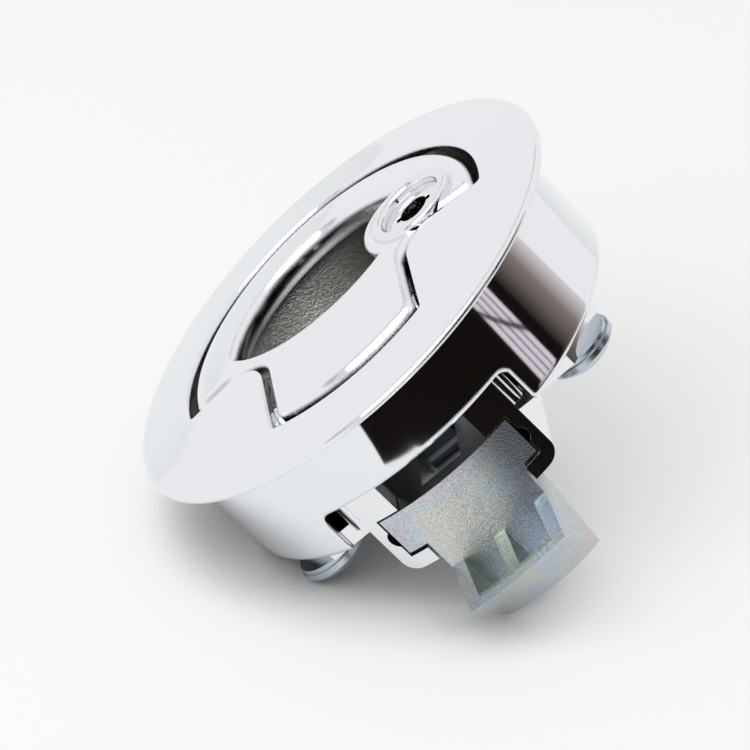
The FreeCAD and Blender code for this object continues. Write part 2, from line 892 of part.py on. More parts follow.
def make_lock_cam():
    """Locking tongue on the tail of the plug; it swings under a ledge."""
    body = new_body("lock_cam")
    front, back = d.plug_back, d.plug_back + d.cam_thickness
    slab(body, "hub", front, back, circle(0, 0, d.cam_hub))
    half = d.cam_half_width
    slab(body, "tongue", front, back, [
        (-(d.cam_reach - half), half, ("left", half)),
        (-d.cam_reach, 0, ("left", half)),
        (-(d.cam_reach - half), -half),
        (0, -half),
        (0, half),
    ])
    tail = d.tail_half + d.close_fit
    sink(body, "square", front - d.overshoot, back + d.overshoot,
         box(-tail, tail, -tail, tail))
    move(body, -d.lock_x, 0, lock_z)
    return body


def make_cam_screw():
    """Small screw that clamps the tongue on the plug."""
    body = new_body("cam_screw")
    seat = d.plug_back + d.cam_thickness
    crown = seat + d.cam_screw_head_height
    turn(body, "screw", [
        (0, seat - d.cam_screw_length + d.close_fit),
        (d.cam_screw_radius, seat - d.cam_screw_length + d.close_fit),
        (d.cam_screw_radius, seat),
        (d.cam_screw_head, seat),
        (d.cam_screw_head, crown - d.ring_round, ("left", d.ring_round)),
        (d.cam_screw_head - d.ring_round, crown),
        (0, crown),
    ])
    half = d.drive_width / 3
    sink(body, "slot", crown - d.cam_screw_head_height / 2, crown + d.overshoot,
         box(-d.cam_screw_head * 2, d.cam_screw_head * 2, -half, half))
    move(body, -d.lock_x, 0, lock_z)
    return body


def make_guide_bracket():
    """Bracket behind the housing: two channel rails, a rear stop, two ears."""
    body = new_body("guide_bracket")
    front = d.front_radius + d.overshoot
    post = d.front_radius - d.tab_length
    for side, name in ((1, "upper"), (-1, "lower")):
        def strip(y_front, y_back, inner, outer):
            return box(y_front, y_back, inner, outer) if side > 0 else box(
                y_front, y_back, -outer, -inner)
        rail(body, f"{name}_rail", -d.rail_rear, front, rail_section(side))
        rail(body, f"{name}_guide_lip", -d.rail_rear, front,
             strip(guide_lip_front, guide_lip_back, d.guide_lip_inner, rail_outer))
        rail(body, f"{name}_post", post, front,
             strip(d.tab_front, guide_lip_back, d.tab_inner, rail_outer))
        slab(body, f"{name}_ear", d.body_depth, ear_back, ear_outline(side))
        slab(body, f"{name}_side_lug", d.tab_front, guide_lip_back,
             circle(d.side_lug_x, side * rail_outer, d.lug_half_round))
    rail(body, "rear_wall", -d.rail_rear, rear_wall_face,
         box(guide_lip_front, d.rail_back, -rail_outer, rail_outer))
    turn(body, "round_front", [
        (d.front_radius, d.tab_front - d.overshoot),
        (d.front_radius * 2, d.tab_front - d.overshoot),
        (d.front_radius * 2, d.rail_back + d.overshoot),
        (d.front_radius, d.rail_back + d.overshoot),
    ], cut=True)
    for side, name in ((1, "upper"), (-1, "lower")):
        channel(body, f"{name}_spring_groove", rear_wall_face, front,
                circle(d.spring_depth, side * spring_centre, d.spring_radius + d.spring_gap))
    sink(body, "screw_holes", d.body_depth - d.overshoot, ear_back + d.overshoot,
         circle(d.screw_x, d.screw_z, d.screw_radius + d.screw_hole_gap),
         circle(d.screw_x, -d.screw_z, d.screw_radius + d.screw_hole_gap))
    return body


def rail_section(side):
    """Section of one rail in Y-Z: a web with a lip turned in at the back."""
    corners = [
        (guide_lip_front, d.rail_inner),
        (lip_front, d.rail_inner),
        (lip_front, d.lip_inner),
        (d.rail_back, d.lip_inner),
        (d.rail_back, rail_outer - d.rail_round, ("left", d.rail_round)),
        (d.rail_back - d.rail_round, rail_outer),
        (guide_lip_front, rail_outer),
    ]
    if side > 0:
        return corners
    return [
        (guide_lip_front, -rail_outer),
        (d.rail_back - d.rail_round, -rail_outer, ("left", d.rail_round)),
        (d.rail_back, -(rail_outer - d.rail_round)),
        (d.rail_back, -d.lip_inner),
        (lip_front, -d.lip_inner),
        (lip_front, -d.rail_inner),
        (guide_lip_front, -d.rail_inner),
    ]


def ear_outline(side):
    """Screw ear in X-Z: straight from the rail, rounded about the screw."""
    centre, radius = d.screw_z, d.ear_radius
    left, right = d.screw_x - radius, d.screw_x + radius
    root_height = d.rail_inner + d.rail_wall / 2
    if side > 0:
        return [
            (left, root_height), (right, root_height), (right, centre, ("left", radius)),
            (d.screw_x, centre + radius, ("left", radius)), (left, centre),
        ]
    return [
        (right, -root_height), (left, -root_height), (left, -centre, ("left", radius)),
        (d.screw_x, -(centre + radius), ("left", radius)), (right, -centre),
    ]


def ramp_radius(depth):
    """Radius of the strike ramp, a cone about the latch axis, at a depth."""
    slope = (d.nose_reach - d.ramp_foot_radius) / (d.ramp_foot_depth - d.nose_tip_depth)
    return d.nose_reach - (depth - d.nose_tip_depth) * slope


def make_pawl():
    """Sliding bolt: a T-shaped slide and a hooked nose with a strike ramp."""
    body = new_body("pawl")
    beyond = d.nose_reach + d.overshoot
    slab(body, "slide", d.pawl_front, d.pawl_shoulder,
         tongue_outline(-d.pawl_rear, pawl_half, d.front_radius))
    foot = d.ramp_foot_depth + d.overshoot
    lean = (d.heel_foot_x - d.heel_x) / (d.ramp_foot_depth - d.pawl_shoulder)
    slide_middle = (d.pawl_front + d.pawl_shoulder) / 2
    bar(body, "nose", -d.nose_half, d.nose_half, [
        (d.heel_x - (d.pawl_shoulder - slide_middle) * lean, slide_middle),
        (beyond, slide_middle),
        (beyond, foot),
        (d.heel_foot_x + d.overshoot * lean, foot),
    ])
    turn(body, "round_front", [
        (d.front_radius, d.pawl_front - d.overshoot),
        (d.front_radius, d.nose_front),
        (d.nose_reach, d.nose_tip_depth),
        (ramp_radius(foot + d.overshoot), foot + d.overshoot),
        (beyond * 2, foot + d.overshoot),
        (beyond * 2, d.pawl_front - d.overshoot),
    ], cut=True)
    lever_room = d.lever_tip + d.slide_fit
    lever_width = d.lever_half + d.lever_slot_gap / 2
    sink(body, "lever_pocket", d.pawl_front - d.overshoot, d.pawl_shoulder + d.overshoot,
         box(pin_x - lever_room, pin_x + lever_room + d.pawl_stroke,
             -lever_width, lever_width))
    for side, name in ((1, "upper"), (-1, "lower")):
        gap = d.spring_radius + d.spring_gap
        low, high = spring_centre - gap, pawl_half + d.overshoot
        span = box(d.spring_depth - gap, d.spring_depth + gap,
                   low if side > 0 else -high, high if side > 0 else -low)
        channel(body, f"{name}_spring_channel", -d.pawl_rear - d.overshoot,
                d.spring_channel_x, span)
        nose_pocket(body, name, side)
    return body


def nose_pocket(body, name, side):
    """One of the two cores that lighten the nose, open at its front face."""
    rib, wall = d.pocket_rib / 2, d.nose_half - d.pocket_wall
    inner = d.front_radius
    outer = d.nose_reach - d.pocket_tip_wall
    waist = d.nose_tip_depth + d.slide_fit
    floor_outer = ramp_radius(d.pocket_floor) - d.pocket_ramp_wall
    upper = sketch_on(body, "XZ_Plane", f"{name}_mouth_outline", -(d.pawl_shoulder + d.overshoot))
    add_loop(upper, pocket_outline(inner, outer, rib, wall, side))
    feature(body, "Pocket", f"{name}_mouth", upper,
            waist - d.pawl_shoulder - d.overshoot)
    sections = []
    for level, radius, tag in ((waist, outer, "waist"), (d.pocket_floor, floor_outer, "floor")):
        sketch = sketch_on(body, "XZ_Plane", f"{name}_core_{tag}", -level)
        add_loop(sketch, pocket_outline(inner, radius, rib, wall, side))
        sections.append(sketch)
    core = body.newObject("PartDesign::SubtractiveLoft", f"{name}_core")
    core.Profile = sections[0]
    core.Sections = sections[1:]
    core.Ruled = True


def pocket_outline(inner, outer, low, high, side):
    """A piece of a ring in X-Z between two radii and two heights."""
    if side > 0:
        return [
            (across(inner, low), low),
            (across(outer, low), low, ("left", outer)),
            (across(outer, high), high),
            (across(inner, high), high, ("right", inner)),
        ]
    return [
        (across(inner, high), -high),
        (across(outer, high), -high, ("left", outer)),
        (across(outer, low), -low),
        (across(inner, low), -low, ("right", inner)),
    ]


def make_bracket_screw(label, side):
    """Zinc-plated truss-head screw with a cross recess."""
    body = new_body(label)
    tip = d.body_depth - d.screw_bite
    rim = head_seat + d.screw_head_rim
    crown = head_seat + d.screw_head_height
    rise = d.screw_head_height - d.screw_head_rim
    bulge = (d.screw_head_radius * d.screw_head_radius + rise * rise) / (2 * rise)
    turn(body, "screw", [
        (0, tip),
        (d.screw_radius - d.ring_round, tip),
        (d.screw_radius, tip + d.ring_round),
        (d.screw_radius, head_seat),
        (d.screw_head_radius, head_seat),
        (d.screw_head_radius, rim, ("left", bulge)),
        (0, crown),
    ])
    half = half_of(d.drive_width)
    sink(body, "cross_recess", crown - d.drive_depth, crown + d.overshoot, cross(half, d.drive_radius))
    move(body, d.screw_x, 0, side * d.screw_z)
    return body


def cross(half, reach):
    """A plus sign of four equal arms."""
    return [
        (half, -reach), (half, -half), (reach, -half), (reach, half),
        (half, half), (half, reach), (-half, reach), (-half, half),
        (-reach, half), (-reach, -half), (-half, -half), (-half, -reach),
    ]


def make_washer(label, side):
    """Plain washer under a bracket screw."""
    body = new_body(label)
    slab(body, "ring", ear_back, head_seat, circle(0, 0, d.washer_radius),
         circle(0, 0, d.screw_radius + d.close_fit))
    move(body, d.screw_x, 0, side * d.screw_z)
    return body


def coil_path(radius, pitch, turns):
    """Points along a wire wound about Z, from +X in the plane Z = 0."""
    count = round(turns * WIRE_STEPS)
    angles = [2 * math.pi * step / WIRE_STEPS for step in range(count + 1)]
    return [Vector(radius * math.cos(angle), radius * math.sin(angle),
                   pitch * angle / (2 * math.pi)) for angle in angles]


def bend_wire(points, wire):
    """A wire of straight lengths with mitred bends through the points."""
    first = points[1] - points[0]
    facing = Rotation(Vector(0, 0, 1), first)
    around = [2 * math.pi * side / WIRE_SIDES for side in range(WIRE_SIDES + 1)]
    corners = [points[0] + facing.multVec(
        Vector(math.cos(angle), math.sin(angle), 0) * (wire / 2)) for angle in around]
    section = Part.makePolygon(corners)
    return Part.makePolygon(points).makePipeShell([section], True, False, 1)


def make_pawl_spring(label, side):
    """Compression spring between the rear stop and the pawl."""
    wire, radius = d.spring_wire.value, d.spring_radius.value
    start = rear_wall_face.value + d.spring_seat_gap.value + wire / 2
    end = d.spring_channel_x.value - d.spring_seat_gap.value - wire / 2
    pitch = (end - start) / d.spring_turns.value
    shape = bend_wire(coil_path(radius - wire / 2, pitch, d.spring_turns.value), wire)
    item = doc.addObject("Part::Feature", label)
    item.Label = label
    item.Shape = shape
    item.Placement = FreeCAD.Placement(
        Vector(start, d.spring_depth.value, side * spring_centre.value),
        Rotation(Vector(0, 1, 0), 90))
    return item


def make_handle_spring():
    """Torsion spring beside the lever: a coil round the pin and two legs."""
    wire, radius, turns = d.torsion_wire.value, d.torsion_coil.value, d.torsion_turns.value
    room = d.lug_inner - d.lever_half - d.torsion_gap * 2 - d.torsion_wire
    pitch = room.value / turns
    roof_gap = (d.pin_depth + d.relief_roof - d.spring_seat_gap).value
    points = coil_path(radius, pitch, turns)
    to_roof = points[0] - Vector(0, roof_gap, 0)
    to_floor = points[-1] + Vector(0, d.torsion_leg.value, 0)
    item = doc.addObject("Part::Feature", "handle_spring")
    item.Label = "handle_spring"
    item.Shape = bend_wire([to_roof, *points, to_floor], wire)
    item.Placement = FreeCAD.Placement(
        Vector(pin_x.value, d.pin_depth.value,
               (d.lever_half + d.torsion_gap + d.torsion_wire / 2).value), Rotation())
    return item


def make_all():
    return [
        make_housing(),
        make_handle(),
        make_hinge_pin(),
        make_pin_clip("pin_clip_upper", 1),
        make_pin_clip("pin_clip_lower", -1),
        make_release_lever(),
        make_handle_spring(),
        make_lock_barrel(),
        make_lock_clip(),
        make_lock_plug(),
        make_lock_cam(),
        make_cam_screw(),
        make_guide_bracket(),
        make_pawl(),
        make_pawl_spring("pawl_spring_upper", 1),
        make_pawl_spring("pawl_spring_lower", -1),
        make_bracket_screw("bracket_screw_upper", 1),
        make_bracket_screw("bracket_screw_lower", -1),
        make_washer("screw_washer_upper", 1),
        make_washer("screw_washer_lower", -1),
    ]


def check_states():
    """Stop if any feature failed to build."""
    for item in doc.Objects:
        if {"Invalid", "Error"} & set(item.State):
            raise RuntimeError(f"{item.Label} did not build: {item.State}")


def write_parts(parts):
    """Check each sub-part's shape, then write all of them."""
    for part in parts:
        shape = part.Shape
        if shape.isNull() or not shape.isValid() or not shape.Solids:
            raise RuntimeError(f"{part.Label} has no valid solid")
    os.makedirs("parts", exist_ok=True)
    for part in parts:
        part.Shape.exportStep(f"parts/{part.Label}.step")
        print(f"{part.Label}: {len(part.Shape.Solids)} solid, {part.Shape.Volume:.1f} mm3")


parts = make_all()
doc.recompute()
check_states()
write_parts(parts)
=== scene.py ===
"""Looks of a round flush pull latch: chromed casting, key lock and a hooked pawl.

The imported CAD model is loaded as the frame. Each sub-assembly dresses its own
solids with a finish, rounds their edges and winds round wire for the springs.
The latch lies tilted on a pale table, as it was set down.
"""

from __future__ import annotations

import logging
import math
from dataclasses import dataclass
from enum import Enum

import bmesh
import bpy
from mathutils import Matrix, Vector

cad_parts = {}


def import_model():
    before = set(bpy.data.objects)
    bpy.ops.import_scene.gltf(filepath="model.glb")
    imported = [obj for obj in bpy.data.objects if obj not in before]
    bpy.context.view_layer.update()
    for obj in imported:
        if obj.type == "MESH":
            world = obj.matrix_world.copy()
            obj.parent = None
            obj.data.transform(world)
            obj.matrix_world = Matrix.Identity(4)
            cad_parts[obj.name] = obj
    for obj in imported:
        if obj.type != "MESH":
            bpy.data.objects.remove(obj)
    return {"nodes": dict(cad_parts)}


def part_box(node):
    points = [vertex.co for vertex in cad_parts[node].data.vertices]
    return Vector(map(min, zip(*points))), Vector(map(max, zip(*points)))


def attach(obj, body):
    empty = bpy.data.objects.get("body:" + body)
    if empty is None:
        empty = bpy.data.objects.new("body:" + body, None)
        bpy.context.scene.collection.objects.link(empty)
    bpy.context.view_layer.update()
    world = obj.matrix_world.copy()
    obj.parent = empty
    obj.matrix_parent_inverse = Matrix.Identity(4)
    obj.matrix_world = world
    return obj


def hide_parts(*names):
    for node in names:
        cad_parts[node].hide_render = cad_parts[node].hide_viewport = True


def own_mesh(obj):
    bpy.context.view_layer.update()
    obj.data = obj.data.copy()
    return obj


LOG = logging.getLogger("flush_pull_latch")
MM = 0.001
SIDES = ("upper", "lower")
# The CAD solids by name, and each finish's material once it is built.
NODES: dict[str, bpy.types.Object] = {}
METALS: dict[str, bpy.types.Material] = {}


class Body(Enum):
    """The rigid bodies that a piece can ride on."""

    HOUSING = "housing_body"
    HANDLE = "handle_body"
    LOCK = "lock_body"
    PAWL = "pawl_body"


def linear(code: str, alpha: float = 1.0) -> tuple[float, float, float, float]:
    """Turn an sRGB hex colour into linear light.

    Args:
        code: the colour as "#RRGGBB".
        alpha: its opacity.

    Returns:
        Red, green, blue and alpha.
    """
    shares = [int(code[i : i + 2], 16) / 255 for i in (1, 3, 5)]
    light = [s / 12.92 if s <= 0.04045 else ((s + 0.055) / 1.055) ** 2.4 for s in shares]
    return (*light, alpha)


def add(tree: bpy.types.NodeTree, kind: str, links: dict | None = None, **settings) -> bpy.types.Node:
    """Add a node with its settings, values and links.

    Args:
        tree: the node tree that takes the node.
        kind: the node's type name.
        links: input name or number to a value, or to a socket to link from.
        settings: attributes of the node.

    Returns:
        The new node.
    """
    node = tree.nodes.new(kind)
    for name, value in settings.items():
        setattr(node, name, value)
    for name, value in (links or {}).items():
        if isinstance(value, bpy.types.NodeSocket):
            tree.links.new(value, node.inputs[name])
        else:
            node.inputs[name].default_value = value
    return node


# Finishes

# Rays that Cycles sends to round an edge in the shading, and to find the shade on the table.
EDGE_RAYS = 12
SHADE_RAYS = 10


@dataclass(frozen=True)
class Finish:
    """A metal surface: its colour, gloss, and the grain that its making left.

    Sizes are in millimetres. The real grain and specks are about a third as wide;
    they are drawn coarser, so that they still show at the photo's scale.
    """

    name: str
    colour: str
    roughness: float
    grain: float = 0.0
    grain_depth: float = 0.0
    slot: str = "plated_steel"
    soft_edge: float = 0.0
    speck: float = 0.35
    speck_colour: str = "#5E5B55"
    speck_band: tuple[float, float] = (0.42, 0.66)
    speck_share: float = 0.45

    def start(self) -> tuple[bpy.types.Material, bpy.types.Node]:
        """Make an empty material.

        Returns:
            The material and its Principled shader, already set to this metal.
        """
        material = bpy.data.materials.new(self.name)
        material.use_nodes = True
        tree = material.node_tree
        tree.nodes.clear()
        shader = add(tree, "ShaderNodeBsdfPrincipled", {
            "Base Color": linear(self.colour), "Metallic": 1.0, "Roughness": self.roughness})
        add(tree, "ShaderNodeOutputMaterial", {"Surface": shader.outputs["BSDF"]})
        return material, shader

    def place(self, tree: bpy.types.NodeTree) -> bpy.types.NodeSocket:
        """Give the socket with each point's place on the object."""
        return add(tree, "ShaderNodeTexCoord").outputs["Object"]

    def axes(self, tree: bpy.types.NodeTree) -> bpy.types.bpy_prop_collection:
        """Give the sockets of each point's x, y and z on the object."""
        return add(tree, "ShaderNodeSeparateXYZ", {0: self.place(tree)}).outputs

    def radius(self, tree: bpy.types.NodeTree) -> bpy.types.NodeSocket:
        """Find how far each point is from the axis of the latch.

        Args:
            tree: the material's nodes.

        Returns:
            The socket of the distance in metres.
        """
        x, _, z = self.axes(tree)
        flat = add(tree, "ShaderNodeCombineXYZ", {0: x, 1: z})
        length = add(tree, "ShaderNodeVectorMath", {0: flat.outputs[0]}, operation="LENGTH")
        return length.outputs["Value"]

    def speckled(self, tree: bpy.types.NodeTree, colour: bpy.types.NodeSocket
                 ) -> bpy.types.NodeSocket:
        """Scatter this finish's fine dark specks over a colour.

        Args:
            tree: the material's nodes.
            colour: the socket of the colour beneath.

        Returns:
            The socket of the speckled colour.
        """
        noise = add(tree, "ShaderNodeTexNoise", {
            "Vector": self.place(tree), "Scale": 1 / (self.speck * MM), "Detail": 4.0})
        first, last = self.speck_band
        dots = add(tree, "ShaderNodeMapRange", {
            "Value": noise.outputs["Fac"], "From Min": first, "From Max": last,
            "To Max": self.speck_share})
        mix = add(tree, "ShaderNodeMix", {
            "Factor": dots.outputs[0], 6: colour, 7: linear(self.speck_colour)},
            data_type="RGBA")
        return mix.outputs[2]

    def covered(self, tree: bpy.types.NodeTree, beneath: tuple | bpy.types.NodeSocket,
                over: str, measure: bpy.types.NodeSocket, start: float, end: float
                ) -> bpy.types.NodeSocket:
        """Cover one colour with another while a measure runs through a range.

        Args:
            tree: the material's nodes.
            beneath: the first colour, as linear light or a socket.
            over: the covering colour as sRGB hex.
            measure: the socket of a place on the object, in metres.
            start: where the cover begins, in millimetres.
            end: where it is full.

        Returns:
            The socket of the colour.
        """
        cover = add(tree, "ShaderNodeMapRange", {
            "Value": measure, "From Min": start * MM, "From Max": end * MM},
            interpolation_type="SMOOTHSTEP")
        mix = add(tree, "ShaderNodeMix", {
            "Factor": cover.outputs[0], 6: beneath, 7: linear(over)}, data_type="RGBA")
        return mix.outputs[2]

    def grained(self, tree: bpy.types.NodeTree, shader: bpy.types.Node,
                strength: bpy.types.NodeSocket | float = 1.0) -> None:
        """Raise this finish's grain on the shader.

        Args:
            tree: the material's nodes.
            shader: the Principled node.
            strength: how much of the grain shows, as a number or a socket.
        """
        grain = add(tree, "ShaderNodeTexNoise", {
            "Vector": self.place(tree), "Scale": 1 / (self.grain * MM), "Detail": 3.0})
        bump = add(tree, "ShaderNodeBump", {
            "Height": grain.outputs["Fac"], "Strength": strength,
            "Distance": self.grain_depth * MM})
        if self.soft_edge:
            rolled = add(tree, "ShaderNodeBevel", {"Radius": self.soft_edge * MM}, samples=EDGE_RAYS)
            tree.links.new(rolled.outputs["Normal"], bump.inputs["Normal"])
        tree.links.new(bump.outputs["Normal"], shader.inputs["Normal"])

    def material(self) -> bpy.types.Material:
        """Build the plain version: one metal with an even grain.

        Returns:
            The material.
        """
        material, shader = self.start()
        if self.grain:
            self.grained(material.node_tree, shader)
        return material


@dataclass(frozen=True)
class BrightChrome(Finish):
    """Bright chrome plate on a polished casting, thin and dull in the hollows.

    Polishing wheels and plating reach the outside only, so the recess behind
    the handle and the inside of the skirt stay grey and rough. Their mouth and
    inside are darkened with painted shade, and the lower cup carries a painted
    highlight.
    """

    name: str = "bright_chrome_plate"
    colour: str = "#ECEEF2"
    roughness: float = 0.045
    grain: float = 0.35
    grain_depth: float = 0.08
    slot: str = "die_cast_chrome"
    # Painted shade: near the face the recess walls are darkened towards this colour.
    mouth_painted_shade: str = "#5B616E"
    mouth_depth: float = 4.5
    cup_depth: float = 6.5
    cup_colour: str = "#8E8B85"
    # Painted highlight: the cup grows paler towards its lower side.
    painted_highlight_colour: str = "#F6F4F0"
    painted_highlight_start: float = 2.0
    painted_highlight_end: float = -11.0
    # Painted shade: the inside darkens towards +x, behind the window.
    shade_colour: str = "#2A2B30"
    shade_start: float = 0.0
    shade_end: float = 9.0
    hollow_roughness: float = 0.30
    hollow_radius: float = 32.2
    hollow_blend: float = 0.3
    hollow_start: float = -0.4
    hollow_end: float = 1.6

    def material(self) -> bpy.types.Material:
        """Build the chrome with its dull hollows, their painted shade and painted highlight.

        Returns:
            The material.
        """
        material, shader = self.start()
        tree = material.node_tree
        hollow = self.hollow(tree)
        colour = add(tree, "ShaderNodeMix", {
            "Factor": hollow, 6: linear(self.colour), 7: self.hollow_colour_and_painted_light(tree)},
            data_type="RGBA")
        dull = add(tree, "ShaderNodeMapRange", {
            "Value": hollow, "To Min": self.roughness, "To Max": self.hollow_roughness})
        tree.links.new(colour.outputs[2], shader.inputs["Base Color"])
        tree.links.new(dull.outputs[0], shader.inputs["Roughness"])
        self.grained(tree, shader, hollow)
        return material

    def hollow(self, tree: bpy.types.NodeTree) -> bpy.types.NodeSocket:
        """Mark what lies behind the face and inside the skirt.

        Args:
            tree: the material's nodes.

        Returns:
            A socket that is 1 in the hollows and 0 on the polished outside.
        """
        edge = self.hollow_radius
        inner = add(tree, "ShaderNodeMapRange", {
            "Value": self.radius(tree), "From Min": (edge + self.hollow_blend) * MM,
            "From Max": edge * MM}, interpolation_type="SMOOTHSTEP")
        deep = add(tree, "ShaderNodeMapRange", {
            "Value": self.axes(tree)[1], "From Min": self.hollow_start * MM,
            "From Max": self.hollow_end * MM}, interpolation_type="SMOOTHSTEP")
        both = add(tree, "ShaderNodeMath", {
            0: inner.outputs[0], 1: deep.outputs[0]}, operation="MULTIPLY")
        return both.outputs[0]

    def hollow_colour_and_painted_light(self, tree: bpy.types.NodeTree) -> bpy.types.NodeSocket:
        """Colour the hollows: painted shade at the mouth, a speckled cup with a painted highlight
        towards its lower side, painted shade on the inside.

        Args:
            tree: the material's nodes.

        Returns:
            The socket of the colour.
        """
        x, depth, height = self.axes(tree)
        floor = self.covered(tree, linear(self.cup_colour), self.painted_highlight_colour, height,
                             self.painted_highlight_start, self.painted_highlight_end)
        cup = self.covered(tree, self.speckled(tree, floor), self.mouth_painted_shade, depth,
                           self.cup_depth, self.mouth_depth)
        return self.covered(tree, cup, self.shade_colour, x, self.shade_start, self.shade_end)


@dataclass(frozen=True)
class PassivatedZinc(Finish):
    """Zinc plate passivated in chromate: a grainy casting with a pale sheen
    that drifts from pink to blue to yellow-green."""

    name: str = "passivated_zinc_casting"
    colour: str = "#C9CDD0"
    roughness: float = 0.24
    grain: float = 0.22
    grain_depth: float = 0.09
    slot: str = "passivated_zinc"
    speck: float = 0.22
    speck_colour: str = "#5F656C"
    speck_share: float = 0.40
    tints: tuple[str, ...] = ("#D0CFDB", "#C9D6E2", "#D9D8D0", "#CCD8DC", "#DAD2D7")
    tint_size: float = 13.0
    tint_band: tuple[float, float] = (0.32, 0.68)
    # Painted reflection: the upper front of the slide is darkened as if it mirrored the dark room.
    painted_reflection_colour: str = "#70747E"
    painted_reflection_start: float = 2.0
    painted_reflection_end: float = 9.5
    painted_reflection_share: float = 0.85
    # Green of thick chromate, darkened further as painted shade.
    pocket_green_and_shade: str = "#B5C2B3"
    pocket_front: float = 30.9
    pocket_half: float = 6.7
    pocket_slope: float = 1.153
    pocket_back: float = 76.3
    pocket_start: float = 27.0
    pocket_end: float = 33.0

    def material(self) -> bpy.types.Material:
        """Build the drifting tints, the painted dark reflection at the upper end, the green pockets with
        their painted shade, and the grain.

        Returns:
            The material.
        """
        material, shader = self.start()
        tree = material.node_tree
        tint_and_painted_reflection = add(tree, "ShaderNodeMix", {
            "Factor": self.painted_reflection(tree), 6: self.tinted(tree), 7: linear(self.painted_reflection_colour)},
            data_type="RGBA")
        colour = add(tree, "ShaderNodeMix", {
            "Factor": self.pocket(tree), 6: tint_and_painted_reflection.outputs[2], 7: linear(self.pocket_green_and_shade)},
            data_type="RGBA")
        tree.links.new(self.speckled(tree, colour.outputs[2]), shader.inputs["Base Color"])
        self.grained(tree, shader)
        return material

    def tinted(self, tree: bpy.types.NodeTree) -> bpy.types.NodeSocket:
        """Let the tints drift into each other over the piece.

        Args:
            tree: the material's nodes.

        Returns:
            The socket of the colour.
        """
        drift = add(tree, "ShaderNodeTexNoise", {
            "Vector": self.place(tree), "Scale": 1 / (self.tint_size * MM), "Detail": 2.0,
            "Distortion": 0.6})
        ramp = add(tree, "ShaderNodeValToRGB", {"Fac": drift.outputs["Fac"]})
        stops = ramp.color_ramp.elements
        first, last = self.tint_band
        while len(stops) < len(self.tints):
            stops.new(0.5)
        for index, tint in enumerate(self.tints):
            stops[index].position = first + (last - first) * index / (len(self.tints) - 1)
            stops[index].color = linear(tint)
        return ramp.outputs["Color"]

    def painted_reflection(self, tree: bpy.types.NodeTree) -> bpy.types.NodeSocket:
        """Mark the upper end of the slide, which is painted dark as a reflection of the dark room.

        Args:
            tree: the material's nodes.

        Returns:
            A socket that rises from 0 to the share of the painted reflection.
        """
        _, depth, height = self.axes(tree)
        high = add(tree, "ShaderNodeMapRange", {
            "Value": height, "From Min": self.painted_reflection_start * MM, "From Max": self.painted_reflection_end * MM},
            interpolation_type="SMOOTHSTEP")
        front = add(tree, "ShaderNodeMapRange", {
            "Value": depth, "From Min": self.pocket_end * MM,
            "From Max": self.pocket_start * MM, "To Max": self.painted_reflection_share},
            interpolation_type="SMOOTHSTEP")
        both = add(tree, "ShaderNodeMath", {
            0: high.outputs[0], 1: front.outputs[0]}, operation="MULTIPLY")
        return both.outputs[0]

    def pocket(self, tree: bpy.types.NodeTree) -> bpy.types.NodeSocket:
        """Mark the cored pockets of the nose, where the chromate stays thick and green and painted shade
        darkens them too.

        Args:
            tree: the material's nodes.

        Returns:
            A socket that is 1 in the depth of a pocket.
        """
        _, depth, height = self.axes(tree)
        radius = self.radius(tree)
        behind = add(tree, "ShaderNodeMath", {
            0: radius, 1: self.pocket_front * MM}, operation="GREATER_THAN")
        lean = add(tree, "ShaderNodeMath", {
            0: depth, 1: self.pocket_slope, 2: radius}, operation="MULTIPLY_ADD")
        within = add(tree, "ShaderNodeMath", {
            0: lean.outputs[0], 1: self.pocket_back * MM}, operation="LESS_THAN")
        away = add(tree, "ShaderNodeMath", {0: height}, operation="ABSOLUTE")
        between = add(tree, "ShaderNodeMath", {
            0: away.outputs[0], 1: self.pocket_half * MM}, operation="LESS_THAN")
        mask = add(tree, "ShaderNodeMapRange", {
            "Value": depth, "From Min": self.pocket_start * MM,
            "From Max": self.pocket_end * MM}, interpolation_type="SMOOTHSTEP")
        for other in (behind, within, between):
            mask = add(tree, "ShaderNodeMath", {
                0: mask.outputs[0], 1: other.outputs[0]}, operation="MULTIPLY")
        return mask.outputs[0]


# Chrome plate on die-cast zinc: a cold mirror, whose edges the polishing wheel rolled over.
CHROME = BrightChrome(soft_edge=1.0)
HANDLE_CHROME = BrightChrome("bright_chrome_handle", soft_edge=2.2)
# The same plate on the bracket, polished less: reflections are a little soft.
BRACKET_CHROME = Finish("bright_chrome_bracket", "#EDEEF1", 0.07, 0.5, 0.004, "die_cast_chrome")
# Chrome on the turned brass of the lock: clean rings of light.
LOCK_CHROME = Finish("polished_lock_chrome", "#E9EAEE", 0.06, 0.6, 0.002, "lock_chrome")
# Zinc on cast steel, passivated: a sparkling grain with a faint rainbow.
PAWL_ZINC = PassivatedZinc()
# Bright zinc on cold-headed screws: smooth, bluish, softly reflecting.
SCREW_ZINC = Finish("blue_white_zinc_screw", "#C4CED6", 0.26, 0.5, 0.01, "plated_steel")
# Zinc on stamped steel, dull; its dark colour is painted shade, for the lever and cam lie in the dark
# inside of the housing.
SHADED_LEVER_ZINC = Finish("zinc_plated_lever_steel", "#6C6F74", 0.34, 0.4, 0.01, "plated_steel")
# Ground steel pin: even, grey, half mirror.
PIN_STEEL = Finish("ground_pin_steel", "#B4B4B6", 0.22, 0.3, 0.004, "pin_steel")
# Drawn spring wire: darker, with a soft line of light along it.
SPRING_WIRE = Finish("drawn_spring_wire", "#8C8D90", 0.28, 0.2, 0.004, "spring_steel")


# Mesh helpers

# How near two corners are to be one, in millimetres; how far two triangles may fold and
# still be one flat, and from what fold on an edge stays sharp, both in degrees.
WELD = 0.002
FLAT = 0.4
CREASE = 28


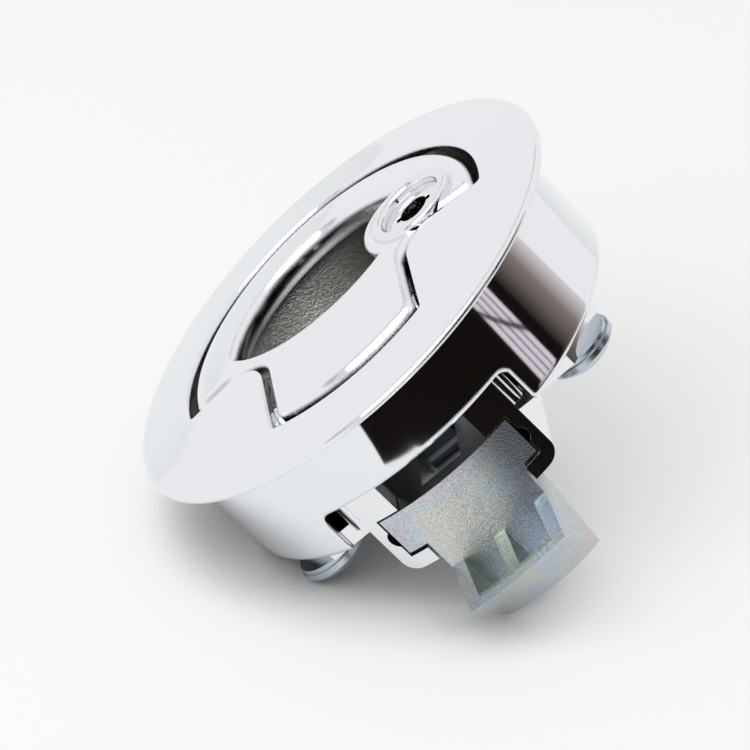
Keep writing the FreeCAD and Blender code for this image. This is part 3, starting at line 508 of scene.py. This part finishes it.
@dataclass(frozen=True)
class Rounding:
    """How far a piece's sharp edges are rounded, in millimetres."""

    radius: float
    segments: int = 2
    sharp: float = 30.0

    def apply(self, item: bpy.types.Object) -> None:
        """Round the edges of a mesh object for good.

        Args:
            item: the object.
        """
        bevel = item.modifiers.new("rounding", "BEVEL")
        bevel.width = self.radius * MM
        bevel.segments = self.segments
        bevel.limit_method = "ANGLE"
        bevel.angle_limit = math.radians(self.sharp)
        bevel.harden_normals = True
        bevel.miter_outer = "MITER_ARC"
        make_plain(item)


def make_plain(item: bpy.types.Object) -> None:
    """Turn an object's modifiers into its mesh.

    Args:
        item: the object.
    """
    bpy.context.view_layer.update()
    graph = bpy.context.evaluated_depsgraph_get()
    item.data = bpy.data.meshes.new_from_object(item.evaluated_get(graph))
    item.modifiers.clear()


def smooth_copy(node: str, rounding: Rounding | None) -> bpy.types.Object:
    """Copy a CAD solid, merge its triangles, shade it smooth and round it.

    Args:
        node: the CAD node.
        rounding: how its edges are rounded; None leaves them.

    Returns:
        The copy, at the origin, which stands for the node.
    """
    source = NODES[node]
    mesh = source.data.copy()
    mesh.name = f"{node}_dressed"
    copy = bpy.data.objects.new(mesh.name, mesh)
    bpy.context.scene.collection.objects.link(copy)
    grid = bmesh.new()
    grid.from_mesh(mesh)
    bmesh.ops.remove_doubles(grid, verts=grid.verts, dist=WELD * MM)
    bmesh.ops.dissolve_limit(
        grid, angle_limit=math.radians(FLAT), verts=grid.verts, edges=grid.edges)
    grid.to_mesh(mesh)
    grid.free()
    for layer in ("custom_normal", "sharp_face", "sharp_edge"):
        found = mesh.attributes.get(layer)
        if found:
            mesh.attributes.remove(found)
    mesh.shade_smooth()
    mesh.set_sharp_from_angle(angle=math.radians(CREASE))
    if rounding:
        rounding.apply(copy)
    return copy


# Wound wire


@dataclass(frozen=True)
class WireGroup:
    """Geometry nodes that wind a round wire into a coil along Z, with two legs."""

    name: str = "wound_wire"
    steps: int = 40
    sides: int = 12

    def wind(self, item: bpy.types.Object,
             values: dict[str, float | bpy.types.Material]) -> None:
        """Fill an empty mesh object with wound wire.

        Args:
            item: the object.
            values: the named inputs of the group, lengths in metres.
        """
        tree = bpy.data.node_groups.get(self.name) or self.build()
        nodes = item.modifiers.new("wire", "NODES")
        nodes.node_group = tree
        for socket in tree.interface.items_tree:
            if socket.in_out == "INPUT":
                nodes[socket.identifier] = values[socket.name]
        make_plain(item)

    def build(self) -> bpy.types.NodeTree:
        """Make the node group.

        Returns:
            The group: coil, two legs, round section, shading and metal.
        """
        tree = bpy.data.node_groups.new(self.name, "GeometryNodeTree")
        for name in ("Coil radius", "Wire radius", "Length", "Turns", "First leg", "Last leg"):
            tree.interface.new_socket(name, in_out="INPUT", socket_type="NodeSocketFloat")
        tree.interface.new_socket("Metal", in_out="INPUT", socket_type="NodeSocketMaterial")
        tree.interface.new_socket("Wire", in_out="OUTPUT", socket_type="NodeSocketGeometry")
        given = add(tree, "NodeGroupInput").outputs
        radius, length = given["Coil radius"], given["Length"]
        coil = add(tree, "GeometryNodeCurveSpiral", {
            "Resolution": self.steps, "Rotations": given["Turns"], "Start Radius": radius,
            "End Radius": radius, "Height": length})
        drop = add(tree, "ShaderNodeMath", {0: given["First leg"], 1: -1.0}, operation="MULTIPLY")
        first = add(tree, "GeometryNodeCurvePrimitiveLine", {
            "Start": self.point(tree, radius, 0.0, 0.0),
            "End": self.point(tree, radius, drop.outputs[0], 0.0)})
        last = add(tree, "GeometryNodeCurvePrimitiveLine", {
            "Start": self.point(tree, radius, 0.0, length),
            "End": self.point(tree, radius, given["Last leg"], length)})
        path = add(tree, "GeometryNodeJoinGeometry")
        for curve in (coil, first, last):
            tree.links.new(curve.outputs["Curve"], path.inputs[0])
        section = add(tree, "GeometryNodeCurvePrimitiveCircle", {
            "Resolution": self.sides, "Radius": given["Wire radius"]})
        wire = add(tree, "GeometryNodeCurveToMesh", {
            "Curve": path.outputs[0], "Profile Curve": section.outputs[0], "Fill Caps": True})
        smooth = add(tree, "GeometryNodeSetShadeSmooth", {"Geometry": wire.outputs[0]})
        real = add(tree, "GeometryNodeRealizeInstances", {"Geometry": smooth.outputs[0]})
        metal = add(tree, "GeometryNodeSetMaterial", {
            "Geometry": real.outputs[0], "Material": given["Metal"]})
        add(tree, "NodeGroupOutput", {0: metal.outputs[0]})
        return tree

    def point(self, tree: bpy.types.NodeTree, x: float | bpy.types.NodeSocket,
              y: float | bpy.types.NodeSocket, z: float | bpy.types.NodeSocket
              ) -> bpy.types.NodeSocket:
        """Join three values or sockets into a point."""
        return add(tree, "ShaderNodeCombineXYZ", {0: x, 1: y, 2: z}).outputs[0]


@dataclass
class Spring:
    """A spring of round wire that stands for the angular one of the solids."""

    node: str
    body: Body
    coil_radius: float
    wire: float
    turns: float
    first_leg: float = 0.0
    last_leg: float = 0.0
    lies_along_x: bool = True

    def build(self) -> bpy.types.Object:
        """Wind the wire where the solid lies.

        Returns:
            The spring, at the origin.
        """
        low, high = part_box(self.node)
        along = 0 if self.lies_along_x else 2
        item = bpy.data.objects.new(f"{self.node}_wire", bpy.data.meshes.new(self.node))
        bpy.context.scene.collection.objects.link(item)
        WireGroup().wind(item, {
            "Coil radius": self.coil_radius * MM, "Wire radius": self.wire * MM / 2,
            "Length": high[along] - low[along] - self.wire * MM, "Turns": self.turns,
            "First leg": self.first_leg * MM, "Last leg": self.last_leg * MM,
            "Metal": plated(SPRING_WIRE),
        })
        item.data.transform(self.place(low, high))
        dress(item, SPRING_WIRE, self.body, self.node)
        return item

    def place(self, low: Vector, high: Vector) -> Matrix:
        """Find the move that carries the coil from Z at the origin to its seat.

        Args:
            low: the lowest corner of the solid.
            high: its highest corner.

        Returns:
            The move.
        """
        half = self.wire * MM / 2
        if self.lies_along_x:
            middle = (low + high) / 2
            seat = Vector((low.x + half, middle.y, middle.z))
            return Matrix.Translation(seat) @ Matrix.Rotation(math.radians(90), 4, "Y")
        reach = (self.coil_radius + self.wire / 2) * MM
        seat = Vector((high.x - reach, high.y - self.last_leg * MM, low.z + half))
        return Matrix.Translation(seat)


def plated(finish: Finish) -> bpy.types.Material:
    """Give the material of a finish, built the first time it is asked for.

    Args:
        finish: the finish.

    Returns:
        Its material.
    """
    if finish.name not in METALS:
        METALS[finish.name] = finish.material()
    return METALS[finish.name]


def dress(piece: bpy.types.Object, finish: Finish, body: Body, stands_for: str) -> None:
    """Give a piece its material, its body and the solid that it replaces.

    Args:
        piece: the object.
        finish: its finish.
        body: the body it rides on.
        stands_for: the CAD node that it replaces.
    """
    piece.data.materials.clear()
    piece.data.materials.append(plated(finish))
    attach(piece, body.value)
    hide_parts(stands_for)
    LOG.info("%s: %d faces in %s", stands_for, len(piece.data.polygons), finish.name)


# Sub-assemblies


@dataclass
class SubAssembly:
    """Pieces that are put together before the latch is, and how far their edges are rounded."""

    fine_edge: float = 0.1
    soft_edge: float = 0.2

    def solid(self, node: str, finish: Finish, body: Body, edge: float = 0.0,
              segments: int = 2) -> None:
        """Dress a copy of one CAD solid.

        Args:
            node: the solid.
            finish: its finish.
            body: the body it rides on.
            edge: the radius of its edges in millimetres; 0 leaves them.
            segments: how many flats each rounding has.
        """
        rounding = Rounding(edge, segments) if edge else None
        dress(smooth_copy(node, rounding), finish, body, node)


@dataclass
class FaceAndBody(SubAssembly):
    """The die-cast housing: bezel, cup and skirt in one chromed casting."""

    casting_edge: float = 0.3

    def build(self) -> None:
        """Dress the housing."""
        self.solid("housing", CHROME, Body.HOUSING, self.casting_edge)


@dataclass
class PullHandle(SubAssembly):
    """The mushroom-shaped pull with its pin, clips, lever and closing spring."""

    coil_radius: float = 2.35
    wire: float = 0.7
    turns: float = 3
    short_leg: float = 3.65
    long_leg: float = 6.1

    def build(self) -> None:
        """Dress the pull and its pin, and wind its spring."""
        self.solid("handle", HANDLE_CHROME, Body.HANDLE)
        self.solid("release_lever", SHADED_LEVER_ZINC, Body.HANDLE, self.soft_edge)
        self.solid("hinge_pin", PIN_STEEL, Body.HOUSING, self.fine_edge)
        for side in SIDES:
            self.solid(f"pin_clip_{side}", SPRING_WIRE, Body.HOUSING, self.fine_edge)
        Spring("handle_spring", Body.HANDLE, self.coil_radius, self.wire, self.turns,
               self.short_leg, self.long_leg, lies_along_x=False).build()


@dataclass
class KeyLock(SubAssembly):
    """The sleeve and its clip, and the plug with its tongue and screw."""

    def build(self) -> None:
        """Dress the lock."""
        self.solid("lock_barrel", LOCK_CHROME, Body.HANDLE)
        self.solid("lock_clip", SPRING_WIRE, Body.HANDLE, self.fine_edge)
        self.solid("lock_plug", LOCK_CHROME, Body.LOCK, self.soft_edge)
        self.solid("lock_cam", SHADED_LEVER_ZINC, Body.LOCK, self.fine_edge)
        self.solid("cam_screw", SCREW_ZINC, Body.LOCK, self.fine_edge)


@dataclass
class PawlAndBracket(SubAssembly):
    """The hooked pawl, its two springs, and the bracket that guides it."""

    bracket_edge: float = 0.3
    pawl_edge: float = 0.4
    segments: int = 3
    coil_radius: float = 1.35
    wire: float = 0.5
    turns: float = 11
    travel: float = 8.7

    def build(self) -> None:
        """Dress the castings and the screws, and wind the springs."""
        self.solid("guide_bracket", BRACKET_CHROME, Body.HOUSING, self.bracket_edge, self.segments)
        self.solid("pawl", PAWL_ZINC, Body.PAWL, self.pawl_edge, self.segments)
        for side in SIDES:
            self.solid(f"bracket_screw_{side}", SCREW_ZINC, Body.HOUSING, self.fine_edge)
            self.solid(f"screw_washer_{side}", SCREW_ZINC, Body.HOUSING, self.fine_edge)
            self.pawl_spring(f"pawl_spring_{side}")

    def pawl_spring(self, name: str) -> None:
        """Wind one pawl spring.

        Args:
            name: its solid.
        """
        spring = Spring(name, Body.HOUSING, self.coil_radius, self.wire, self.turns).build()
        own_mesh(spring)


# The table, the light and the camera


@dataclass
class View:
    """Where the camera stands and how the table lies, in degrees and millimetres."""

    azimuth: float = -23.918
    elevation: float = 14.115
    roll: float = 50.393
    distance: float = 899.8
    aim: tuple[float, float, float] = (5.36, 10.23, -3.00)
    focal: float = 298.72
    film: float = 36.0
    table_elevation: float = 32.08
    table_roll: float = -0.70

    def axes(self) -> tuple[Vector, Vector, Vector]:
        """Work out how the camera is turned.

        Returns:
            Its right, up and backward directions.
        """
        turn, lift = math.radians(self.azimuth), math.radians(self.elevation)
        back = Vector((
            math.cos(lift) * math.cos(turn), math.cos(lift) * math.sin(turn), math.sin(lift)))
        level = Vector((-math.sin(turn), math.cos(turn), 0))
        rise = back.cross(level)
        roll = math.radians(self.roll)
        right = level * math.cos(roll) + rise * math.sin(roll)
        return right, back.cross(right), back

    def table_axes(self) -> tuple[Vector, Vector, Vector]:
        """Work out how the table lies.

        Returns:
            Its directions to the right, towards the camera and up.
        """
        right, up, back = self.axes()
        tilt, lean = math.radians(self.table_elevation), math.radians(self.table_roll)
        rise = (up * math.cos(tilt) * math.cos(lean) + right * math.cos(tilt) * math.sin(lean)
                + back * math.sin(tilt)).normalized()
        near = (back - rise * back.dot(rise)).normalized()
        return near.cross(rise) * -1, near, rise

    def build(self) -> None:
        """Add the camera."""
        lens = bpy.data.cameras.new("camera")
        lens.sensor_width = self.film
        lens.lens = self.focal
        lens.clip_start = 0.01
        lens.clip_end = 20
        camera = bpy.data.objects.new("camera", lens)
        bpy.context.scene.collection.objects.link(camera)
        right, up, back = self.axes()
        turned = Matrix((right, up, back)).transposed().to_4x4()
        place = Vector(self.aim) * MM + back * self.distance * MM
        camera.matrix_world = Matrix.Translation(place) @ turned
        bpy.context.scene.camera = camera


@dataclass(frozen=True)
class Board:
    """An upright board round the latch that only reflections show.

    Its ends are bearings in degrees from the camera's side to the right, its
    distance and heights are in metres. Where it has a last colour, it drifts to it.
    """

    name: str
    distance: float
    start: float
    end: float
    low: float
    high: float
    colour: str
    last: str = ""


# The dark floor and walls are what makes the right side of the body read as polished metal.
DARK = "#15110F"
BROWN = "#857A73"
BOARDS = (
    Board("dark_rail", 0.5, -165, -75, 0.25, 0.30, "#33343C"),
    Board("dark_post", 0.5, -60, -25, 0.20, 0.25, "#33343C"),
    Board("dark_wall", 0.42, 20, 84, -0.02, 0.40, DARK),
    Board("brown_wall", 0.40, 82, 98, -0.02, 0.40, "#1C1614", BROWN),
    Board("grey_wall", 0.40, 98, 110, -0.02, 0.40, BROWN, "#DDD9D6"),
)


@dataclass
class Studio:
    """A pale table, even light, and dark boards that chrome needs to show."""

    view: View
    floor_edge: tuple[tuple[float, float], ...] = (
        (4, 0.080), (14, 0.120), (22, 0.170), (34, 0.260), (60, 0.300), (96, 0.340))
    floor_reach: float = 0.7
    floor_height: float = 0.0006
    pane_starts: tuple[float, ...] = (64, 67, 70, 73)
    pane_feet: tuple[float, ...] = (0.050, 0.083, 0.116)
    pane_width: float = 2.4
    pane_height: float = 0.030
    pane_distance: float = 0.30
    pane_colour: str = "#DED5DD"
    table_colour: str = "#F8F9F8"
    table_reach: float = 0.8
    table_share: float = 0.52
    table_glow: float = 0.48
    shade_reach: float = 0.5
    shade_dark: float = 0.33
    shade_clear: float = 0.53
    world_strength: float = 0.64
    backdrop: float = 0.94
    lamp_size: float = 1.0
    lamp_place: tuple[float, float, float] = (-0.5, 0.55, 1.0)
    lamp_power: float = 8.5

    def table_height(self) -> float:
        """Find how low the latch reaches along the table's own up direction.

        Returns:
            The height of the table in metres.
        """
        rise = self.view.table_axes()[2]
        return min(
            rise.dot(vertex.co) for node in NODES.values() for vertex in node.data.vertices)

    def frame_at(self, across: float, near: float, height: float) -> Vector:
        """Turn a place in table terms into the row frame.

        Args:
            across: how far to the right, in metres.
            near: how far towards the camera.
            height: how far above the table.

        Returns:
            The place.
        """
        right, front, rise = self.view.table_axes()
        return right * across + front * near + rise * (self.table_height() + height)

    def shape(self, name: str, corners: list[Vector]) -> bpy.types.Object:
        """Make a flat piece of stage.

        Args:
            name: its name.
            corners: its corners in the row frame.

        Returns:
            The piece.
        """
        mesh = bpy.data.meshes.new(name)
        mesh.from_pydata(corners, [], [tuple(range(len(corners)))])
        item = bpy.data.objects.new(name, mesh)
        bpy.context.scene.collection.objects.link(item)
        return item

    def table(self) -> None:
        """Lay the table: pale, also lit from within where nothing shades it, clear from below."""
        reach = self.table_reach
        corners = [self.frame_at(a * reach, n * reach, 0)
                   for a, n in ((-1, 1), (1, 1), (1, -1), (-1, -1))]
        item = self.shape("table", corners)
        material = bpy.data.materials.new("pale_table")
        material.use_nodes = True
        tree = material.node_tree
        tree.nodes.clear()
        red, green, blue, alpha = linear(self.table_colour)
        share = self.table_share
        paper = add(tree, "ShaderNodeBsdfDiffuse", {
            "Color": (red * share, green * share, blue * share, alpha)})
        sky = add(tree, "ShaderNodeAmbientOcclusion", {"Distance": self.shade_reach}, samples=SHADE_RAYS)
        light = add(tree, "ShaderNodeMapRange", {
            "Value": sky.outputs["AO"], "From Min": self.shade_dark,
            "From Max": self.shade_clear, "To Max": self.table_glow})
        under = add(tree, "ShaderNodeEmission", {
            "Color": linear(self.table_colour), "Strength": light.outputs[0]})
        plain = add(tree, "ShaderNodeAddShader", {0: paper.outputs[0], 1: under.outputs[0]})
        clear = add(tree, "ShaderNodeBsdfTransparent")
        side = add(tree, "ShaderNodeNewGeometry")
        surface = add(tree, "ShaderNodeMixShader", {
            0: side.outputs["Backfacing"], 1: plain.outputs[0], 2: clear.outputs[0]})
        add(tree, "ShaderNodeOutputMaterial", {"Surface": surface.outputs[0]})
        item.data.materials.append(material)

    def sheet(self, name: str, corners: list[Vector], colours: list[str]) -> None:
        """Put up a flat sheet that only reflections show.

        Args:
            name: its name.
            corners: its corners in the row frame.
            colours: the colour of each corner as sRGB hex.
        """
        item = self.shape(name, corners)
        tone = item.data.color_attributes.new("tone", "FLOAT_COLOR", "POINT")
        for spot, colour in zip(tone.data, colours):
            spot.color = linear(colour)
        material = bpy.data.materials.new(name)
        material.use_nodes = True
        tree = material.node_tree
        tree.nodes.clear()
        shade = add(tree, "ShaderNodeAttribute", attribute_name="tone")
        glow = add(tree, "ShaderNodeEmission", {"Color": shade.outputs["Color"]})
        add(tree, "ShaderNodeOutputMaterial", {"Surface": glow.outputs[0]})
        item.data.materials.append(material)
        item.visible_camera = False
        item.visible_diffuse = False
        item.visible_shadow = False
        item.visible_transmission = False

    def bearing(self, turn: float, reach: float, height: float) -> Vector:
        """Find a place from its bearing, its distance and its height above the table."""
        angle = math.radians(turn)
        return self.frame_at(reach * math.sin(angle), reach * math.cos(angle), height)

    def board(self, board: Board) -> None:
        """Stand up one board.

        Args:
            board: the board.
        """
        corners = [
            self.bearing(turn, board.distance, height)
            for turn, height in ((board.start, board.low), (board.end, board.low),
                                 (board.end, board.high), (board.start, board.high))]
        last = board.last or board.colour
        self.sheet(board.name, corners, [board.colour, last, last, board.colour])

    def dark_room(self) -> None:
        """Set out what the polished wall mirrors on its right side."""
        near = [self.bearing(turn, reach, self.floor_height) for turn, reach in self.floor_edge]
        far = [self.bearing(turn, self.floor_reach, self.floor_height)
               for turn, _ in reversed(self.floor_edge)]
        self.sheet("dark_floor", near + far, [DARK] * len(near + far))
        for board in BOARDS:
            self.board(board)
        for start in self.pane_starts:
            for foot in self.pane_feet:
                self.board(Board(
                    f"pane_{start}_{foot}", self.pane_distance, start, start + self.pane_width,
                    foot, foot + self.pane_height, self.pane_colour))

    def lamp(self, name: str, place: Vector, power: float, size: float) -> None:
        """Hang a square soft lamp that looks at the latch.

        Args:
            name: its name.
            place: where it hangs in the row frame.
            power: its power in watts.
            size: its side in metres.
        """
        light = bpy.data.lights.new(name, "AREA")
        light.energy = power
        light.size = size
        item = bpy.data.objects.new(name, light)
        bpy.context.scene.collection.objects.link(item)
        item.location = place
        item.rotation_euler = (-place).to_track_quat("-Z", "Y").to_euler()

    def build(self) -> None:
        """Light the stage and set it out."""
        scene = bpy.context.scene
        scene.view_settings.view_transform = "Standard"
        world = bpy.data.worlds.new("studio")
        scene.world = world
        world.use_nodes = True
        tree = world.node_tree
        tree.nodes.clear()
        path = add(tree, "ShaderNodeLightPath")
        seen = add(tree, "ShaderNodeMath", {
            0: path.outputs["Is Camera Ray"], 1: path.outputs["Is Glossy Ray"]},
            operation="MAXIMUM")
        shown = add(tree, "ShaderNodeMath", {
            0: seen.outputs[0], 1: path.outputs["Is Transmission Ray"]}, operation="MAXIMUM")
        strength = add(tree, "ShaderNodeMapRange", {
            "Value": shown.outputs[0], "To Min": self.world_strength, "To Max": self.backdrop})
        glow = add(tree, "ShaderNodeBackground", {
            "Color": linear("#FFFFFF"), "Strength": strength.outputs[0]})
        add(tree, "ShaderNodeOutputWorld", {"Surface": glow.outputs[0]})
        self.table()
        self.lamp("soft_lamp", self.frame_at(*self.lamp_place), self.lamp_power, self.lamp_size)
        self.dark_room()


def main() -> None:
    """Build the scene: frame, pieces, stage and camera."""
    logging.basicConfig(level=logging.INFO, format="%(message)s")
    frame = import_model()
    NODES.update(frame["nodes"])
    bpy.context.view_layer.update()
    for part in (FaceAndBody(), PullHandle(), KeyLock(), PawlAndBracket()):
        part.build()
    view = View()
    Studio(view).build()
    view.build()


if __name__ == "__main__":
    main()
